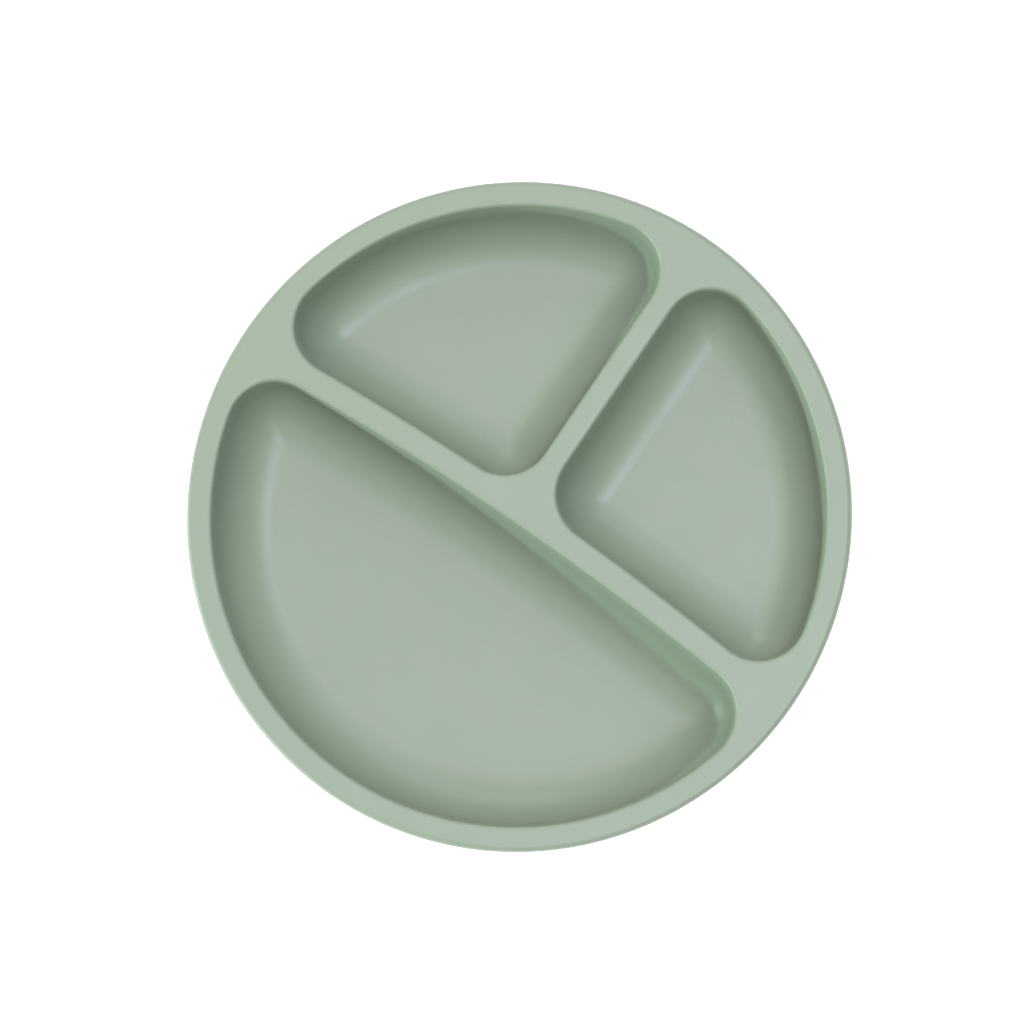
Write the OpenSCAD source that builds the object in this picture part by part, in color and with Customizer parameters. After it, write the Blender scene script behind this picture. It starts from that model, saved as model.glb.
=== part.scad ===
// Divided suction plate for a young child: a silicone plate with three compartments
// on a flexible suction base that grips the table, with a tab that breaks the seal.
// The plate stands on the plane z = 0 with its middle on the Z axis. The short divider
// runs along +Y, and the large compartment lies on the -Y side, above the tab.

/* [Plate] */
// Outer diameter of the rim
plate_d = 190; // [176:1:210]
// Height from the table to the top of the rim
plate_h = 30; // [29.5:0.5:34]
// Width of the flat rim
rim_w = 6.7; // [5.5:0.1:8]
// Radius of the rounded outer edge of the rim
rim_edge_r = 1.4; // [0.8:0.1:2]
// Slope of the outside wall from the vertical
outer_draft = 14; // [10:1:16]
// Radius of the curve between the outside wall and the underside
belly_r = 22; // [19:1:23]
// Height of the plate's underside above the table
underside_z = 5.5; // [5.2:0.1:6]

/* [Compartments] */
// Depth of each compartment below the rim
pocket_depth = 20.5; // [18:0.5:21]
// Radius of the compartments' upright corners at the rim
corner_r = 14.3; // [11:0.1:15]
// How far in from the rim's inner edge the flat floor starts
floor_inset = 16.4; // [13:0.1:17]
// Radius of the rounded edge between the rim and a compartment
pocket_edge_r = 0.6; // [0.4:0.1:1]
// Slope of the compartment walls from the vertical
wall_draft = 7; // [4:1:9]
// Width of the long divider
long_divider_w = 6.8; // [5:0.1:9]
// Radius of the long divider's gentle bow
long_divider_bow_r = 900; // [600:50:1500]
// How far the long divider's front edge lies in front of the plate's middle
long_divider_front = 2.4; // [0:0.1:4]
// Width of the short divider
short_divider_w = 6; // [5:0.1:9]

/* [Suction base] */
// Diameter of the bonded hub of the base
hub_d = 112; // [104:1:116]
// Thickness of the hub
hub_t = 1.8; // [1.4:0.1:2.2]
// Outer diameter of the skirt, at its sealing lip
skirt_d = 148; // [140:1:150]
// Thickness of the skirt where it leaves the hub
skirt_root_t = 1.6; // [1.2:0.1:1.7]
// Thickness of the sealing lip at its edge
lip_t = 0.9; // [0.7:0.1:1.2]
// Width of the flat face of the lip that rests on the table
lip_land_w = 2.2; // [1.6:0.1:3]
// Middle diameter of the locating ring that keys the base into the plate
key_ring_d = 92; // [84:1:96]
// Width of the locating ring
key_ring_w = 4; // [3:0.1:5]
// Height of the locating ring above the hub
key_ring_h = 1.7; // [1.2:0.1:1.8]
// Thickness of the adhesive bead above the locating ring
bond_t = 0.3; // [0.2:0.05:0.4]
// Number of fine round ribs on the underside of the hub
hub_ribs = 3; // [1:1:3]

/* [Release tab] */
// Width of the tab
tab_w = 17; // [14:1:20]
// Length of the tab from the lip to its rounded end
tab_l = 15; // [13:1:17]
// Thickness of the tab
tab_t = 1.6; // [1.2:0.1:1.8]
// Height of the tab's lower face above the table
tab_lift = 0.3; // [0.2:0.1:0.5]
// Number of grip ridges across the tab
tab_ridges = 3; // [1:1:3]

/* [Hidden] */
$fn = 96;
sage = [0.67, 0.73, 0.66];
pale_sage = [0.72, 0.77, 0.71];
clear_grey = [0.85, 0.87, 0.84];
over = 2;  // how far a cut runs past the face that it opens

// ---- Compartments ----

floor_z = plate_h - pocket_depth;
rim_inner_r = plate_d / 2 - rim_w;
bow_front_r = long_divider_bow_r;
bow_back_r = long_divider_bow_r + long_divider_w;
bow_y = -long_divider_front - bow_front_r;  // the bow's centre lies on the Y axis
floor_corner_r = 0.6;   // the corners' radius where they reach the flat floor
corner_steps = 6;       // facets round an upright corner
fillet_steps = 6;       // facets down the fillet
bow_steps = 4;          // facets along the long divider
large_rim_steps = 26;   // facets along the rim side of the large compartment
small_rim_steps = 11;   // facets along the rim side of a small compartment

// Fillet from wall to floor, sized so that wall and fillet together reach in by floor_inset
fillet_r = (floor_inset - pocket_depth * tan(wall_draft))
    / (cos(wall_draft) - (1 - sin(wall_draft)) * tan(wall_draft));

// How a hollow narrows going down, as [inset, height], from above the rim to the floor
hollow_steps = concat(
    [[-pocket_edge_r, plate_h + over], [-pocket_edge_r, plate_h], [0, plate_h - pocket_edge_r]],
    [for (k = [0:fillet_steps])
        let (a = (90 - wall_draft) * (1 - k / fillet_steps))
        [floor_inset - fillet_r * sin(a), floor_z + fillet_r * (1 - cos(a))]]
);

// The upright corners keep their centres until they have shrunk to floor_corner_r
function corner_at(inset) = max(corner_r - inset, floor_corner_r);

// Where a circle round the origin crosses one round the bow's centre, on the +X side
function crossing(r_origin, r_bow) =
    let (y = (r_origin * r_origin + bow_y * bow_y - r_bow * r_bow) / (2 * bow_y))
    [sqrt(r_origin * r_origin - y * y), y];

// Direction in degrees from one point to another
function towards(from, to) = atan2(to[1] - from[1], to[0] - from[0]);

function on_circle(centre, r, a) = centre + r * [cos(a), sin(a)];

// Points from angle a to angle b about a centre, both ends included
function arc(centre, r, a, b, steps) =
    [for (k = [0:steps]) on_circle(centre, r, a + (b - a) * k / steps)];

// The same arc without its two ends, where the corners beside it already have them
function inner_arc(centre, r, a, b, steps) =
    [for (k = [1:steps - 1]) on_circle(centre, r, a + (b - a) * k / steps)];

// Outline of the large compartment at an inset from the rim's edge, anticlockwise
function large_outline(inset) =
    let (r = corner_at(inset), reach = inset + r,
        c = crossing(rim_inner_r - reach, bow_front_r - reach),
        rim_a = atan2(c[1], c[0]), bow_a = towards([0, bow_y], c))
    concat(
        arc(c, r, rim_a, bow_a, corner_steps),
        inner_arc([0, bow_y], bow_front_r - inset, bow_a, 180 - bow_a, bow_steps),
        arc([-c[0], c[1]], r, 180 - bow_a, 180 - rim_a, corner_steps),
        inner_arc([0, 0], rim_inner_r - inset, 180 - rim_a, 360 + rim_a, large_rim_steps)
    );

// Outline of the small compartment on the +X side, anticlockwise from its far corner
function small_outline(inset) =
    let (r = corner_at(inset), reach = inset + r, x = short_divider_w / 2 + reach,
        far = [x, sqrt(pow(rim_inner_r - reach, 2) - x * x)],
        near = [x, bow_y + sqrt(pow(bow_back_r + reach, 2) - x * x)],
        side = crossing(rim_inner_r - reach, bow_back_r + reach),
        near_a = towards([0, bow_y], near), side_a = towards([0, bow_y], side),
        rim_a = atan2(side[1], side[0]), rim_b = atan2(far[1], far[0]))
    concat(
        arc(far, r, rim_b, 180, corner_steps),
        arc(near, r, 180, 180 + near_a, corner_steps),
        inner_arc([0, bow_y], bow_back_r + inset, near_a, side_a, bow_steps),
        arc(side, r, 180 + side_a, 360 + rim_a, corner_steps),
        inner_arc([0, 0], rim_inner_r - inset, rim_a, rim_b, small_rim_steps)
    );

// A closed solid through outlines of equal length, given from the top down
module loft(outlines, heights) {
    n = len(outlines[0]);
    last = len(outlines) - 1;
    points = [for (k = [0:last]) for (p = outlines[k]) [p[0], p[1], heights[k]]];
    sides = [for (k = [0:last - 1]) for (i = [0:n - 1]) let (j = (i + 1) % n)
        each [[k * n + i, k * n + j, (k + 1) * n + j],
            [k * n + i, (k + 1) * n + j, (k + 1) * n + i]]];
    top = [for (i = [0:n - 1]) n - 1 - i];
    bottom = [for (i = [0:n - 1]) last * n + i];
    polyhedron(points, concat(sides, [top, bottom]), convexity = 6);
}

module large_hollow() {
    loft([for (s = hollow_steps) large_outline(s[0])], [for (s = hollow_steps) s[1]]);
}

module small_hollow() {
    loft([for (s = hollow_steps) small_outline(s[0])], [for (s = hollow_steps) s[1]]);
}

// ---- Plate ----

rim_edge_x = plate_d / 2 - rim_edge_r;  // centre of the rim's rounded outer edge
rim_edge_z = plate_h - rim_edge_r;
belly_z = underside_z + belly_r;        // centre of the belly's curve
wall_foot_z = belly_z - belly_r * sin(outer_draft);
wall_top = [rim_edge_x + rim_edge_r * cos(outer_draft),
    rim_edge_z - rim_edge_r * sin(outer_draft)];
wall_foot_x = wall_top[0] - (wall_top[1] - wall_foot_z) * tan(outer_draft);
belly_x = wall_foot_x - belly_r * cos(outer_draft);  // also the flat underside's radius

// Half of the plate's outer section: x is the radius, y is the height
module outer_section() {
    polygon([
        [0, underside_z], [belly_x, underside_z], [belly_x, belly_z],
        [wall_foot_x, wall_foot_z], wall_top,
        [rim_edge_x, rim_edge_z], [rim_edge_x, plate_h], [0, plate_h],
    ]);
    intersection() {
        translate([belly_x, belly_z]) circle(belly_r);
        translate([belly_x, underside_z - over]) square([belly_r + over, belly_r + over]);
    }
    intersection() {
        translate([rim_edge_x, rim_edge_z]) circle(rim_edge_r);
        translate([rim_edge_x, rim_edge_z]) square(rim_edge_r + over);
    }
}

// A square-edged ring about the Z axis, from its middle radius, width, foot and height
module ring(middle_r, width, foot_z, height) {
    rotate_extrude() translate([middle_r - width / 2, foot_z]) square([width, height]);
}

module plate_body() {
    color(sage) difference() {
        rotate_extrude() outer_section();
        large_hollow();
        small_hollow();
        mirror([1, 0, 0]) small_hollow();
        // Groove that takes the locating ring and the adhesive above it
        ring(key_ring_d / 2, key_ring_w, underside_z - over, over + key_ring_h + bond_t);
    }
}

// ---- Suction base ----

hub_z = underside_z - hub_t;
rib_w = 1.2;
rib_h = 0.5;
rib_gap = 12;  // from one round rib's middle to the next

// The hub lies against the underside, with its locating ring in the plate's groove
module suction_base() {
    color(pale_sage) {
        translate([0, 0, hub_z]) cylinder(d = hub_d, h = hub_t);
        ring(key_ring_d / 2, key_ring_w, underside_z - hub_t / 2, key_ring_h + hub_t / 2);
        for (k = [1:hub_ribs])
            ring(k * rib_gap, rib_w, hub_z - rib_h, rib_h + hub_t / 2);
    }
}

module bond_ring() {
    color(clear_grey) ring(key_ring_d / 2, key_ring_w, underside_z + key_ring_h, bond_t);
}

skirt_r = skirt_d / 2;
skirt_gap = 0.2;  // between the top of the skirt's root and the plate
land_l = 8;       // how far the thickened land at the tab's root runs in over the skirt

// A shallow cone from the hub down to the thin lip, thickened where the tab joins it
module suction_skirt() {
    top_z = underside_z - skirt_gap;
    color(pale_sage) {
        rotate_extrude() polygon([
            [hub_d / 2, top_z - skirt_root_t], [skirt_r - lip_land_w, 0], [skirt_r, 0],
            [skirt_r, lip_t], [hub_d / 2, top_z],
        ]);
        intersection() {
            translate([-tab_w / 2, -skirt_r, tab_lift]) cube([tab_w, land_l, tab_t]);
            cylinder(r = skirt_r, h = underside_z);
        }
    }
}

// ---- Release tab ----

tab_joint_gap = 0.05;  // between the tab's root and the lip's edge
ridge_w = 1;
ridge_h = 0.5;
ridge_gap = 2.2;   // from one ridge's middle to the next
ridge_inset = 2.5; // from the tab's end to the middle of the outermost ridge

// Flat tongue with a round end, lying out from the lip toward -Y
module release_tab() {
    tab_end = -skirt_r - tab_l;
    round_y = tab_end + tab_w / 2;
    color(pale_sage) difference() {
        union() {
            translate([0, round_y, tab_lift]) cylinder(d = tab_w, h = tab_t);
            translate([-tab_w / 2, round_y, tab_lift]) cube([tab_w, tab_w, tab_t]);
            for (k = [0:tab_ridges - 1])
                translate([-tab_w / 4, tab_end + ridge_inset + k * ridge_gap - ridge_w / 2,
                    tab_lift]) cube([tab_w / 2, ridge_w, tab_t + ridge_h]);
        }
        translate([0, 0, -over]) cylinder(r = skirt_r + tab_joint_gap, h = underside_z + over);
    }
}

plate_body();
suction_base();
bond_ring();
suction_skirt();
release_tab();
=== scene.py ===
import math

import bmesh
import bpy
from mathutils import Matrix, Vector
from mathutils.geometry import delaunay_2d_cdt


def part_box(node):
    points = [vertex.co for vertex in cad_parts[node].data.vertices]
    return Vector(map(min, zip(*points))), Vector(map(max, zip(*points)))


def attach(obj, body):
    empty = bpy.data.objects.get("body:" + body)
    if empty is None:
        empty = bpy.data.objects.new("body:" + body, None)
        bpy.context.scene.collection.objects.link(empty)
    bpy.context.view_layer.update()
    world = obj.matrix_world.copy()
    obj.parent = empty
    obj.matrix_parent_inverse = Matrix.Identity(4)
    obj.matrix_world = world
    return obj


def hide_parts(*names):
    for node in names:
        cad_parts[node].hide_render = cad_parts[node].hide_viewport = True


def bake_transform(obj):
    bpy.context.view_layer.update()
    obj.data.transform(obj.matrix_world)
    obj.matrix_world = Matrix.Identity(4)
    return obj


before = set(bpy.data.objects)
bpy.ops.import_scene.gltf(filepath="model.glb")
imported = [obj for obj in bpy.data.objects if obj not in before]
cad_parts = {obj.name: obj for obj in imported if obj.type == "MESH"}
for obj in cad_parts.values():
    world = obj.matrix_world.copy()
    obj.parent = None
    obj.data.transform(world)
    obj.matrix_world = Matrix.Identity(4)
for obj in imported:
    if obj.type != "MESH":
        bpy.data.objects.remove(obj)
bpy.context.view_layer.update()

# Shapes are worked out in millimetres, and Shell.build turns them into metres. The rim and the dividers are
# up to 0.6 mm wider than there, as their edges are rounder.
MM = 0.001

# ---- Plate ----

plate_lo, plate_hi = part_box("plate_body")
PLATE_R = plate_hi[0] / MM
PLATE_H = plate_hi[2] / MM
UNDERSIDE_Z = plate_lo[2] / MM
OUTER_DRAFT = math.radians(14)
BELLY_R = 22          # from the outer wall round to the underside
RIM_W = 7.0
RIM_EDGE_R = 1.4
PARTING_H = 0.1       # the fine line that the mould leaves round the rim
RIM_R = PLATE_R - PARTING_H
RIM_IN = PLATE_R - RIM_W
# The photo's outline is about 1% narrower along the long divider, taken for soft silicone out of round
RELAXED = Matrix(((0.9894, -0.0052, 0, 0), (-0.0052, 1, 0, 0), (0, 0, 1, 0), (0, 0, 0, 1)))

# ---- Dividers: the long one follows a wide arc with its centre at (0, BOW_Y) ----

LONG_W = 7.1
LONG_FRONT = 2.5      # how far its front edge stands from the plate's middle
LONG_BOW_R = 900
SHORT_W = 6.6
BOW_Y = -LONG_FRONT - LONG_BOW_R
BOW_FRONT = LONG_BOW_R
BOW_BACK = LONG_BOW_R + LONG_W

# ---- Compartments ----

FLOOR_Z = 9.5
WALL_DRAFT = math.radians(7)
POCKET_EDGE_R = 1.0   # rounding from the rim into a compartment
CORNER_R = 14.0       # corners in plan, at the rim
FLOOR_CORNER_R = 0.6  # the smallest that they become going down
LARGE_FLOOR_INSET = 16.1
SMALL_FLOOR_INSET = 15.0
FLAT_MARGIN = 0.12    # a loop this far inside each flat keeps its shading flat

# ---- Suction base ----

HUB_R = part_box("suction_base")[1][0] / MM
HUB_Z = 3.7           # underside of the hub
HUB_TOP_GAP = 0.02    # between the hub and the plate
RIB_RADII = (36, 24, 12)
RIB_H = 0.5
RIB_HALF_W = 0.6
RIB_FOOT = 0.25       # how far the ribs' feet spread
RIB_ROUND = 0.8       # below 1 makes a rib's section squarer than a half sine
KEY_EDGE_R, HUB_EDGE_R, HUB_FOOT_R = 0.3, 0.25, 0.15
KEY_IN, KEY_OUT, KEY_TOP = 44, 48, 7.2   # the ring that locates the base in the plate
GROOVE_TOP = 7.5      # top of the plate's groove for it
GROOVE_CHAMFER = 0.3
HUB_CAP_R, PLATE_CAP_R = 0.6, 1   # a single face this large closes a flat at the axis

SKIRT_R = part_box("suction_skirt")[1][0] / MM
SKIRT_TOP = 5.3
SKIRT_OVERLAP = 0.15  # how far its root reaches into the hub
SKIRT_SAG = 0.28      # the shallow S of its upper face
SEAL_HOLLOW = 0.25
LIP_T, LIP_W = 0.9, 2.2
LIP_TOP_R, LIP_FOOT_R = 0.35, 0.3
LIP_TURN_W, LIP_TURN_H = 0.5, 0.02   # where the lip's flat foot starts to turn up into the hollow

# ---- Release tab, which points to -Y ----

TAB_W = 17
TAB_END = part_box("release_tab")[0][1] / MM
TAB_LO, TAB_HI = 0.3, 1.9
TAB_EDGE_R = 0.5
TAB_ROOT_Y = -72.6
TAB_FLARE = 3.0       # how much wider it gets on each side where it leaves the lip
TAB_FLARE_L = 4.2
TAB_SUNK = 0.35       # how far its root sinks into the lip, so that no two faces lie in one plane
TAB_SUNK_Y, TAB_SUNK_L = -74.4, 1.8   # where that starts, and over what length
LAND_MARGIN, LAND_SLOPE = 0.8, 6   # the lip is as thick as the tab this far past its sides, then slopes
RIDGES, RIDGE_PITCH, RIDGE_FIRST = 3, 2.2, 2.5
RIDGE_H, RIDGE_HALF_W, RIDGE_END = 0.5, 0.62, 0.6
RIDGE_ROUND = 1.3     # above 1 makes a ridge's section narrower at its top than a half sine

# ---- How finely the shapes are divided ----

PLATE_SIDES, HUB_SIDES, SKIRT_SIDES = 288, 240, 360
CORNER_STEPS, LONG_STEPS, SHORT_STEPS = 18, 40, 20
LARGE_RIM_STEPS, SMALL_RIM_STEPS, STRAIGHT_STEPS = 120, 48, 16
EDGE_STEPS, WALL_STEPS, FILLET_STEPS = 8, 6, 30
SECTION_CORNER_STEPS = 4
OUTER_WALL_STEPS, BELLY_STEPS = 8, 32
RIB_STEPS, SKIRT_STEPS, SEAL_STEPS = 12, 18, 16
FLARE_STEPS, TAB_SIDE_STEPS, TAB_END_STEPS, TAB_EDGE_STEPS = 12, 4, 48, 6
RIDGE_GRID, PLAIN_GRID = 0.28, 1.2   # spacing of the points on the tab's upper and lower face
GRID_MARGIN = 0.15    # how far those points stay from the face's edge


class Shell:
    """A surface in millimetres, put together from loops of points."""

    def __init__(self):
        self.points, self.faces = [], []

    def loop(self, points):
        first = len(self.points)
        self.points.extend(points)
        return list(range(first, len(self.points)))

    def bridge(self, a, b):
        """Quads between two loops of equal length."""
        n = len(a)
        self.faces.extend((a[i], a[(i + 1) % n], b[(i + 1) % n], b[i]) for i in range(n))

    def skin(self, loops):
        for a, b in zip(loops, loops[1:]):
            self.bridge(a, b)

    def cap(self, loop):
        self.faces.append(tuple(loop))

    def fill(self, outer, holes=(), inner=()):
        """Triangles over the flat between an outer loop and its holes, through any inner points."""
        loops = [outer, *holes]
        ids = [i for one in loops for i in one] + list(inner)
        edges, at = [], 0
        for one in loops:
            edges += [(at + k, at + (k + 1) % len(one)) for k in range(len(one))]
            at += len(one)
        flat = [Vector(self.points[i][:2]) for i in ids]
        made, _, faces, source, _, _ = delaunay_2d_cdt(flat, edges, [], 0, 1e-5)
        shapes = [[self.points[i][:2] for i in one] for one in loops]
        for face in faces:
            middle = sum((made[i] for i in face), Vector((0, 0))) / len(face)
            if inside(middle, shapes[0]) and not any(inside(middle, s) for s in shapes[1:]):
                self.faces.append(tuple(ids[source[i][0]] for i in face))

    def build(self, name, material):
        mesh = bpy.data.meshes.new(name)
        bm = bmesh.new()
        verts = [bm.verts.new([c * MM for c in p]) for p in self.points]
        for f in self.faces:
            bm.faces.new([verts[i] for i in f])
        bmesh.ops.recalc_face_normals(bm, faces=bm.faces)
        for f in bm.faces:
            f.smooth = True
        bm.to_mesh(mesh)
        bm.free()
        mesh.materials.append(material)
        obj = bpy.data.objects.new(name, mesh)
        bpy.context.scene.collection.objects.link(obj)
        return obj


# ---- Points and curves ----

def inside(p, shape):
    """Whether a point lies inside a closed outline."""
    hit = False
    x0, y0 = shape[-1]
    for x1, y1 in shape:
        if (y0 > p[1]) != (y1 > p[1]) and p[0] < (x1 - x0) * (p[1] - y0) / (y1 - y0) + x0:
            hit = not hit
        x0, y0 = x1, y1
    return hit


def lift(outline, z):
    return [(x, y, z) for x, y in outline]


def between(a, b, steps):
    """Points between a and b, without the two."""
    return [tuple(p + (q - p) * k / steps for p, q in zip(a, b)) for k in range(1, steps)]


def on_circle(centre, r, a):
    return centre[0] + r * math.cos(a), centre[1] + r * math.sin(a)


def arc(centre, r, a, b, steps):
    return [on_circle(centre, r, a + (b - a) * k / steps) for k in range(steps + 1)]


def inner_arc(centre, r, a, b, steps):
    return arc(centre, r, a, b, steps)[1:-1]


def round_loop(r, z, n):
    return [(r * math.cos(k * math.tau / n), r * math.sin(k * math.tau / n), z) for k in range(n)]


OUT, IN, UP, DOWN = Vector((1, 0)), Vector((-1, 0)), Vector((0, 1)), Vector((0, -1))   # in a section


def corner(at, r, arriving, leaving):
    """A section's corner, rounded from the direction it is reached in to the one it is left in."""
    points = []
    for k in range(SECTION_CORNER_STEPS + 1):
        t = k / SECTION_CORNER_STEPS
        p = (1 - t) ** 2 * -arriving * r + t ** 2 * leaving * r
        points.append((at[0] + p.x, at[1] + p.y))
    return points


def smooth(t):
    t = min(max(t, 0), 1)
    return t * t * (3 - 2 * t)


# ---- Outlines of the compartments, each a given inset in from its outline at the rim ----

def crossing(r_origin, r_bow):
    """Where a circle round the plate's axis meets an arc along the long divider, on the +X side."""
    y = (r_origin ** 2 + BOW_Y ** 2 - r_bow ** 2) / (2 * BOW_Y)
    return math.sqrt(r_origin ** 2 - y ** 2), y


def towards(a, b):
    return math.atan2(b[1] - a[1], b[0] - a[0])


def large_outline(inset):
    r = max(CORNER_R - inset, FLOOR_CORNER_R)
    reach = inset + r
    c = crossing(RIM_IN - reach, BOW_FRONT - reach)
    rim_a, bow_a = math.atan2(c[1], c[0]), towards((0, BOW_Y), c)
    return (arc(c, r, rim_a, bow_a, CORNER_STEPS)
            + inner_arc((0, BOW_Y), BOW_FRONT - inset, bow_a, math.pi - bow_a, LONG_STEPS)
            + arc((-c[0], c[1]), r, math.pi - bow_a, math.pi - rim_a, CORNER_STEPS)
            + inner_arc((0, 0), RIM_IN - inset, math.pi - rim_a, math.tau + rim_a, LARGE_RIM_STEPS))


def small_outline(inset):
    r = max(CORNER_R - inset, FLOOR_CORNER_R)
    reach = inset + r
    x = SHORT_W / 2 + reach
    far = (x, math.sqrt((RIM_IN - reach) ** 2 - x * x))
    near = (x, BOW_Y + math.sqrt((BOW_BACK + reach) ** 2 - x * x))
    side = crossing(RIM_IN - reach, BOW_BACK + reach)
    near_a, side_a = towards((0, BOW_Y), near), towards((0, BOW_Y), side)
    rim_a, rim_b = math.atan2(side[1], side[0]), math.atan2(far[1], far[0])
    first = arc(far, r, rim_b, math.pi, CORNER_STEPS)
    second = arc(near, r, math.pi, math.pi + near_a, CORNER_STEPS)
    return (first + between(first[-1], second[0], STRAIGHT_STEPS) + second
            + inner_arc((0, BOW_Y), BOW_BACK + inset, near_a, side_a, SHORT_STEPS)
            + arc(side, r, math.pi + side_a, math.tau + rim_a, CORNER_STEPS)
            + inner_arc((0, 0), RIM_IN - inset, rim_a, rim_b, SMALL_RIM_STEPS))


def hollow_steps(floor_inset):
    """How a compartment narrows going down, as (inset, height): rounded edge, wall, fillet."""
    wall_a = math.pi / 2 - WALL_DRAFT
    edge_x = -POCKET_EDGE_R * (1 - math.sin(WALL_DRAFT)) / math.cos(WALL_DRAFT)
    edge = [(edge_x + POCKET_EDGE_R * math.sin(wall_a * k / EDGE_STEPS),
             PLATE_H - POCKET_EDGE_R * (1 - math.cos(wall_a * k / EDGE_STEPS)))
            for k in range(EDGE_STEPS + 1)]
    deep = PLATE_H - FLOOR_Z
    fillet_r = ((floor_inset - deep * math.tan(WALL_DRAFT))
                / (math.cos(WALL_DRAFT) - (1 - math.sin(WALL_DRAFT)) * math.tan(WALL_DRAFT)))
    fillet = [(floor_inset - fillet_r * math.sin(wall_a * (1 - k / FILLET_STEPS)),
               FLOOR_Z + fillet_r * (1 - math.cos(wall_a * (1 - k / FILLET_STEPS))))
              for k in range(FILLET_STEPS + 1)]
    return edge + between(edge[-1], fillet[0], WALL_STEPS) + fillet


# ---- Pieces ----

def outer_steps():
    """The plate's outside from the rim's top down to the underside, as (radius, height)."""
    edge_x, edge_z = RIM_R - RIM_EDGE_R, PLATE_H - RIM_EDGE_R
    belly_z = UNDERSIDE_Z + BELLY_R
    wall_top = on_circle((edge_x, edge_z), RIM_EDGE_R, -OUTER_DRAFT)
    foot_z = belly_z - BELLY_R * math.sin(OUTER_DRAFT)
    foot = (wall_top[0] - (wall_top[1] - foot_z) * math.tan(OUTER_DRAFT), foot_z)
    belly_x = foot[0] - BELLY_R * math.cos(OUTER_DRAFT)
    # Degrees round the rim's edge, and how much of the parting line stands out there
    edge = [(deg, 0) for deg in range(90, 12, -9)]
    edge += [(9, 0), (5, 0.15), (2, 0.85), (0, 1), (-2, 0.85), (-5, 0.15), (-9, 0), (-14, 0)]
    return ([on_circle((edge_x, edge_z), RIM_EDGE_R + PARTING_H * out, math.radians(deg))
             for deg, out in edge]
            + between(wall_top, foot, OUTER_WALL_STEPS)
            + arc((belly_x, belly_z), BELLY_R, -OUTER_DRAFT, -math.pi / 2, BELLY_STEPS))


def make_plate(material):
    s = Shell()
    outside = [(RIM_R - RIM_EDGE_R - FLAT_MARGIN, PLATE_H)] + outer_steps()
    outside += [(KEY_OUT + GROOVE_CHAMFER, UNDERSIDE_Z), (KEY_OUT, UNDERSIDE_Z + GROOVE_CHAMFER),
                (KEY_OUT, GROOVE_TOP), (KEY_IN, GROOVE_TOP),
                (KEY_IN, UNDERSIDE_Z + GROOVE_CHAMFER), (KEY_IN - GROOVE_CHAMFER, UNDERSIDE_Z),
                (PLATE_CAP_R, UNDERSIDE_Z)]
    outer = [s.loop(round_loop(r, z, PLATE_SIDES)) for r, z in outside]
    s.skin(outer)
    s.cap(outer[-1])
    mouths = []
    for outline, floor_inset, side in ((large_outline, LARGE_FLOOR_INSET, 1),
                                       (small_outline, SMALL_FLOOR_INSET, 1),
                                       (small_outline, SMALL_FLOOR_INSET, -1)):
        steps = hollow_steps(floor_inset)
        steps.insert(0, (steps[0][0] - FLAT_MARGIN, PLATE_H))
        steps.append((floor_inset + FLAT_MARGIN, FLOOR_Z))
        loops = [s.loop([(x * side, y, z) for x, y in outline(inset)]) for inset, z in steps]
        s.skin(loops)
        s.fill(loops[-1])
        mouths.append(loops[0])
    s.fill(outer[0], mouths)
    plate = s.build("plate", material)
    plate.data.transform(RELAXED)
    return plate


def make_hub(material):
    top = UNDERSIDE_Z - HUB_TOP_GAP
    section = [(HUB_CAP_R, top), (KEY_IN, top)]
    section += corner((KEY_IN, KEY_TOP), KEY_EDGE_R, UP, OUT)
    section += corner((KEY_OUT, KEY_TOP), KEY_EDGE_R, OUT, DOWN)
    section += [(KEY_OUT, top)]
    section += corner((HUB_R, top), HUB_EDGE_R, OUT, DOWN)
    section += corner((HUB_R, HUB_Z), HUB_FOOT_R, DOWN, IN)
    for middle in RIB_RADII:
        for k in range(RIB_STEPS + 1):
            a = math.pi * k / RIB_STEPS
            x = middle + RIB_HALF_W * math.cos(a)
            section.append((x + RIB_FOOT * math.cos(a) * (1 - math.sin(a)),
                            HUB_Z - RIB_H * math.sin(a) ** RIB_ROUND))
    section.append((HUB_CAP_R, HUB_Z))
    s = Shell()
    loops = [s.loop(round_loop(r, z, HUB_SIDES)) for r, z in section]
    s.skin(loops)
    s.cap(loops[0])
    s.cap(loops[-1])
    return s.build("suction_hub", material)


def thicken_lip(x, y, z):
    """Raises a point of the lip's upper face to the tab's thickness where the tab leaves it."""
    if y < 0:
        z += max(TAB_HI - z, 0) * (1 - smooth((abs(x) - TAB_W / 2 - LAND_MARGIN) / LAND_SLOPE))
    return x, y, z


def make_skirt(material):
    lip_in = SKIRT_R - LIP_W
    root_in = HUB_R - SKIRT_OVERLAP
    upper = []   # from the root out to the lip
    for k in range(SKIRT_STEPS + 1):
        t = k / SKIRT_STEPS
        sag = SKIRT_SAG * math.sin(math.pi * t) * math.sin(math.pi * t / 2)
        upper.append((root_in + (SKIRT_R - LIP_TOP_R - root_in) * t,
                      SKIRT_TOP + (LIP_T - SKIRT_TOP) * t - sag))
    upper += corner((SKIRT_R, LIP_T), LIP_TOP_R, OUT, DOWN)
    under = corner((SKIRT_R, 0), LIP_FOOT_R, DOWN, IN)
    under += [(lip_in + LIP_TURN_W, 0), (lip_in, LIP_TURN_H)]
    for k in range(1, SEAL_STEPS + 1):   # sealing face, hollowed a little, from the lip in to the hub
        t = k / SEAL_STEPS
        under.append((lip_in + (root_in - lip_in) * t, HUB_Z * t + SEAL_HOLLOW * math.sin(math.pi * t)))
    s = Shell()
    loops = [s.loop([thicken_lip(*p) for p in round_loop(r, z, SKIRT_SIDES)]) for r, z in upper]
    loops += [s.loop(round_loop(r, z, SKIRT_SIDES)) for r, z in under]
    s.skin(loops + loops[:1])
    return s.build("suction_skirt_soft", material)


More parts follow.
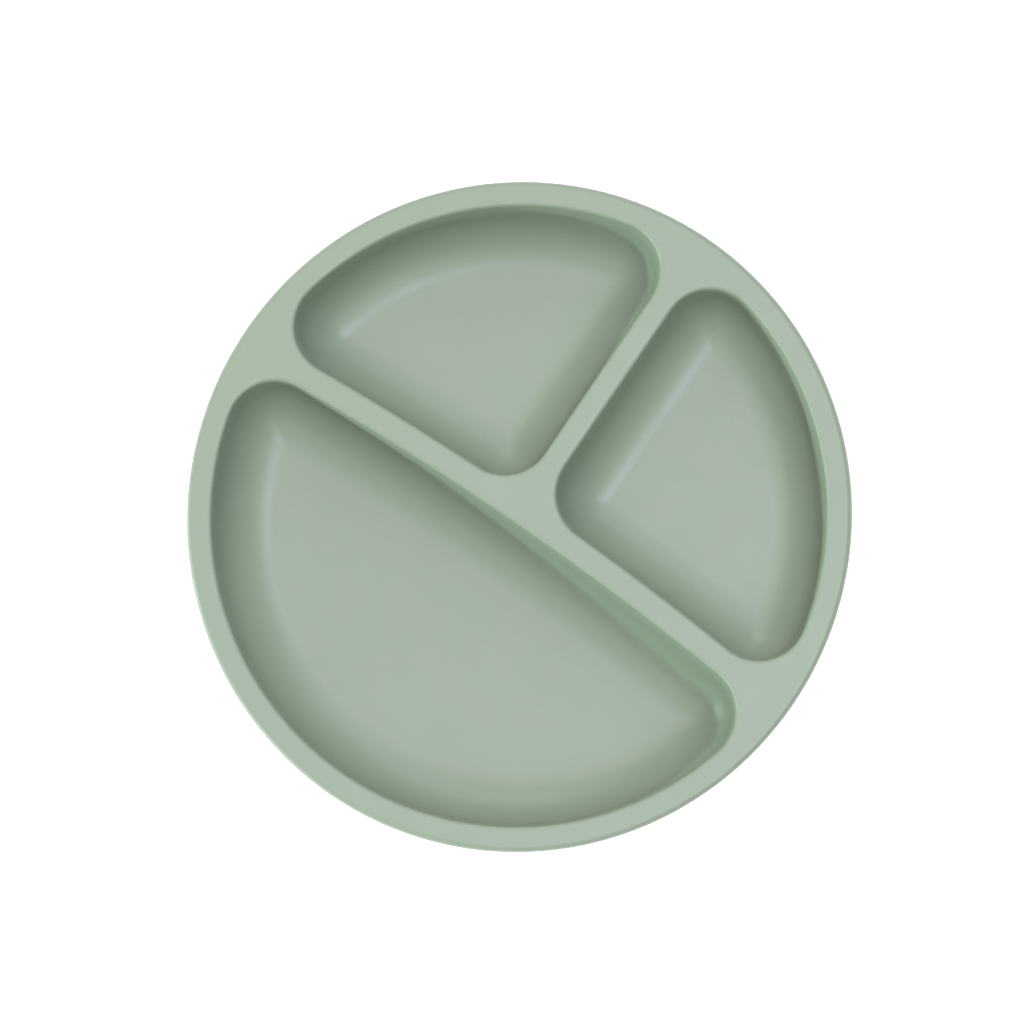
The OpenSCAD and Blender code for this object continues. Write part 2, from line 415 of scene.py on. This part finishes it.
def tab_outline(inset):
    """The tongue in plan: flared where it leaves the lip, with a round end."""
    half = TAB_W / 2 - inset
    end = TAB_END + inset
    side = []
    for k in range(FLARE_STEPS + 1):   # flare on the +X side, from the root outwards
        a = math.pi / 2 * k / FLARE_STEPS
        side.append((half + TAB_FLARE * (1 - math.sin(a)), TAB_ROOT_Y - TAB_FLARE_L * (1 - math.cos(a))))
    middle_y = TAB_END + TAB_W / 2
    side += between(side[-1], (half, middle_y), TAB_SIDE_STEPS)
    return (side + arc((0, middle_y), middle_y - end, 0, -math.pi, TAB_END_STEPS)
            + [(-x, y) for x, y in reversed(side)])


def ridge(x, y):
    """Height of the grip ridges above the tab's upper face."""
    across = 1 - smooth((abs(x) - TAB_W / 4 + RIDGE_END) / RIDGE_END)
    best = 0
    for k in range(RIDGES):
        d = abs(y - (TAB_END + RIDGE_FIRST + RIDGE_PITCH * k)) / RIDGE_HALF_W
        if d < 1:
            best = max(best, math.cos(d * math.pi / 2) ** RIDGE_ROUND)
    return RIDGE_H * across * best


def tab_grid(spacing):
    """Points over the tab's flat faces, in plan."""
    shape = tab_outline(TAB_EDGE_R + FLAT_MARGIN + GRID_MARGIN)
    xs = [i * spacing for i in range(int(-TAB_W / spacing), int(TAB_W / spacing) + 1)]
    ys = [j * spacing for j in range(int(TAB_END / spacing), int(TAB_ROOT_Y / spacing) + 1)]
    return [(x, y) for x in xs for y in ys if inside((x, y), shape)]


def make_tab(material):
    s = Shell()
    flat = TAB_EDGE_R + FLAT_MARGIN
    edge = [(TAB_EDGE_R * (1 - math.sin(a)), TAB_EDGE_R * (1 - math.cos(a)))
            for a in (math.pi / 2 * k / TAB_EDGE_STEPS for k in range(TAB_EDGE_STEPS + 1))]
    steps = [(flat, TAB_LO)]
    steps += [(inset, TAB_LO + z) for inset, z in edge]
    steps += [(inset, TAB_HI - z) for inset, z in reversed(edge)]
    steps += [(flat, TAB_HI)]
    loops = [s.loop(lift(tab_outline(inset), z)) for inset, z in steps]
    s.skin(loops)
    under = s.loop(lift(tab_grid(PLAIN_GRID), TAB_LO))
    upper = s.loop(lift(tab_grid(RIDGE_GRID), TAB_HI))
    s.fill(loops[0], inner=under)
    s.fill(loops[-1], inner=upper)
    for i in upper:
        x, y, z = s.points[i]
        s.points[i] = (x, y, z + ridge(x, y))
    middle = (TAB_LO + TAB_HI) / 2
    for i, (x, y, z) in enumerate(s.points):
        sunk = TAB_SUNK * smooth((y - TAB_SUNK_Y) / TAB_SUNK_L)
        s.points[i] = (x, y, z + (sunk if z < middle else -sunk))
    return s.build("release_tab_soft", material)


# ---- Materials ----

class Look:
    """A Principled material driven by noise in the piece's own coordinates."""

    def __init__(self, name):
        self.material = bpy.data.materials.new(name)
        self.material.use_nodes = True
        self.tree = self.material.node_tree
        self.tree.nodes.clear()
        out = self.add("ShaderNodeOutputMaterial")
        self.bsdf = self.add("ShaderNodeBsdfPrincipled")
        self.wire(self.bsdf.outputs["BSDF"], out.inputs["Surface"])
        self.coord = self.add("ShaderNodeTexCoord").outputs["Object"]

    def add(self, kind, **values):
        node = self.tree.nodes.new(kind)
        for name, value in values.items():
            node.inputs[name.replace("_", " ")].default_value = value
        return node

    def wire(self, output, socket):
        self.tree.links.new(output, socket)

    def drive(self, socket, output):
        self.wire(output, self.bsdf.inputs[socket])

    def noise(self, scale, low, high, detail=2.0):
        """Noise with this many swells per metre, spread over low to high."""
        node = self.add("ShaderNodeTexNoise", Scale=scale, Detail=detail)
        self.wire(self.coord, node.inputs["Vector"])
        spread = self.add("ShaderNodeMapRange", From_Min=0.3, From_Max=0.7, To_Min=low, To_Max=high)
        self.wire(node.outputs["Fac"], spread.inputs["Value"])
        return spread.outputs["Result"]

    def blend(self, factor, a, b):
        """A colour between a and b, each a colour or another node's output."""
        node = self.add("ShaderNodeMix")
        node.data_type = "RGBA"
        self.wire(factor, node.inputs["Factor"])
        for socket, colour in (("A", a), ("B", b)):
            target = next(i for i in node.inputs if i.name == socket and i.type == "RGBA")
            if isinstance(colour, tuple):
                target.default_value = colour
            else:
                self.wire(colour, target)
        return next(o for o in node.outputs if o.type == "RGBA")

    def bump(self, height, distance, strength, under=None):
        node = self.add("ShaderNodeBump", Distance=distance, Strength=strength)
        self.wire(height, node.inputs["Height"])
        if under:
            self.wire(under, node.inputs["Normal"])
        return node.outputs["Normal"]


def shade(colour, by):
    return tuple(c * by for c in colour) + (1.0,)


# Noise in silicone, in swells per metre, and the heights of its bumps in metres
CLOUDS, DUST, SPECKS, SHINE, WAVES, GRAIN = 28, 70, 2600, 90, 45, 3200
WAVE_H, GRAIN_H = 0.00004, 0.00001


def silicone(name, colour, rough, grain):
    """Moulded silicone: a satin skin with a very fine grain, faint waves and a little variation in tone."""
    look = Look(name)
    clouds = look.blend(look.noise(CLOUDS, 0, 1, 3), shade(colour, 0.985), shade(colour, 1.015))
    dusty = tuple(0.9 * c + 0.1 * max(colour) for c in colour) + (1.0,)
    worn = look.blend(look.noise(DUST, 0, 0.3), clouds, dusty)
    look.drive("Base Color", look.blend(look.noise(SPECKS, 0, 0.06, 1), worn, shade(colour, 0.4)))
    look.drive("Roughness", look.noise(SHINE, rough - 0.03, rough + 0.03, 3))
    waves = look.bump(look.noise(WAVES, 0, 1), WAVE_H, 0.5)
    look.drive("Normal", look.bump(look.noise(GRAIN, 0, 1), GRAIN_H, grain, waves))
    look.bsdf.inputs["IOR"].default_value = 1.41
    look.bsdf.inputs["Sheen Weight"].default_value = 0.05
    return look.material


plate_mat = silicone("plate_silicone", (0.208, 0.268, 0.198), 0.4, 0.3)
base_mat = silicone("base_silicone", (0.22, 0.275, 0.204), 0.36, 0.2)
bond_mat = silicone("bond", (0.5, 0.53, 0.49), 0.3, 0.1)

# ---- Pieces on the frame ----

plate = make_plate(plate_mat)
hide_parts("plate_body")
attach(plate, "plate")

hub = make_hub(base_mat)
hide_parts("suction_base")
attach(hub, "plate")

skirt = make_skirt(base_mat)
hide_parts("suction_skirt")
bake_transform(skirt)

tab = make_tab(base_mat)
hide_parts("release_tab")
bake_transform(tab)

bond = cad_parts["bond_ring"]
bond.data.materials.clear()
bond.data.materials.append(bond_mat)

# ---- Floor, light and camera ----

ROLL = math.radians(-34.34)   # how far the plate is turned in the picture
TO_WORLD = Matrix.Rotation(-ROLL, 3, "Z")   # from the picture's axes (right, up, nearer) to the model's


def make_floor():
    half, z = 6000, -0.3
    s = Shell()
    s.cap(s.loop([(-half, -half, z), (half, -half, z), (half, half, z), (-half, half, z)]))
    look = Look("floor")
    look.drive("Base Color", look.blend(look.noise(5, 0, 1), (0.9, 0.9, 0.9, 1), (0.88, 0.88, 0.88, 1)))
    look.drive("Roughness", look.noise(30, 0.85, 0.95))
    look.bsdf.inputs["Emission Color"].default_value = (1, 1, 1, 1)
    look.bsdf.inputs["Emission Strength"].default_value = 0.4
    s.build("floor", look.material)


def lamp(name, elevation, azimuth, width, strength):
    """A far lamp, softer the wider it is, in degrees: azimuth 0 is the picture's right and 90 its top."""
    e, a = math.radians(elevation), math.radians(azimuth)
    data = bpy.data.lights.new(name, "SUN")
    data.angle = math.radians(width)
    data.energy = math.pi * max(strength)
    data.color = [c / max(strength) for c in strength]
    obj = bpy.data.objects.new(name, data)
    obj.rotation_mode = "QUATERNION"
    away = TO_WORLD @ Vector((math.cos(e) * math.cos(a), math.cos(e) * math.sin(a), math.sin(e)))
    obj.rotation_quaternion = away.to_track_quat("Z", "Y")
    bpy.context.scene.collection.objects.link(obj)


def make_lights():
    """Soft light from all round overhead, a cool lamp in it for the sheen, and low lamps at the left.

    The strengths were fitted to the photo by a program, from renders with one lamp each, and rounded.
    The sheen and the two low lamps were then changed.
    """
    lamp("sheen", 80, -10, 12, (0.39, 0.35, 0.54))
    lamp("top_right", 68, 330, 24, (0.08, 0.16, 0.07))
    lamp("top_back", 68, 114, 24, (0.29, 0.23, 0.20))
    lamp("top_left", 68, 186, 24, (0.16, 0.17, 0.20))
    lamp("high_front_right", 50, 300, 24, (0.17, 0.14, 0.15))
    lamp("high_back_right", 50, 60, 24, (0.11, 0.13, 0.16))
    lamp("high_front_left", 50, 235, 24, (0.12, 0.13, 0.09))
    lamp("back", 30, 90, 24, (0.26, 0.24, 0.23))
    lamp("low_left", 8.2, 187, 1.5, (0.42, 0.54, 0.49))
    lamp("low_front_left", 6.2, 215, 8, (0.45, 0.43, 0.48))


def make_world():
    """A dim warm room with a white band at the horizon, as a studio's backdrop gives."""
    white, white_up_to = (0.95, 0.95, 0.95, 1), 0.03
    room, room_from = (0.20, 0.19, 0.13, 1), 0.2   # heights of a direction, 0 level and 1 straight up
    world = bpy.data.worlds.new("studio")
    bpy.context.scene.world = world
    world.use_nodes = True
    nodes, links = world.node_tree.nodes, world.node_tree.links
    height = nodes.new("ShaderNodeSeparateXYZ")
    links.new(nodes.new("ShaderNodeTexCoord").outputs["Generated"], height.inputs["Vector"])
    ramp = nodes.new("ShaderNodeValToRGB")
    ramp.color_ramp.interpolation = "EASE"
    for stop, position, colour in zip(ramp.color_ramp.elements, (white_up_to, room_from), (white, room)):
        stop.position = position
        stop.color = colour
    links.new(height.outputs["Z"], ramp.inputs["Fac"])
    links.new(ramp.outputs["Color"], nodes["Background"].inputs["Color"])
    nodes["Background"].inputs["Strength"].default_value = 1.0


def make_camera():
    tilt = Vector((math.radians(2.51), math.radians(-6.63)))   # right of and below the plate's axis
    distance = 1.31
    picture_w = 288.45 * MM   # the width that the picture covers at the rim's height
    shift = Vector((-1.803, 0.451, 0)) * MM   # where the picture's middle lies from the plate's
    axes = TO_WORLD @ Matrix.Rotation(tilt.length, 3, Vector((-tilt.y, tilt.x, 0)).normalized())
    data = bpy.data.cameras.new("camera")
    data.sensor_width = 36
    data.lens = data.sensor_width * distance / picture_w
    data.clip_end = 100
    cam = bpy.data.objects.new("camera", data)
    target = Vector((0, 0, PLATE_H * MM)) + axes @ shift
    cam.location = target + axes @ Vector((0, 0, distance))
    cam.rotation_mode = "QUATERNION"
    cam.rotation_quaternion = axes.to_quaternion()
    bpy.context.scene.collection.objects.link(cam)
    bpy.context.scene.camera = cam


make_floor()
make_lights()
make_world()
make_camera()

bpy.context.scene.view_settings.view_transform = "Standard"
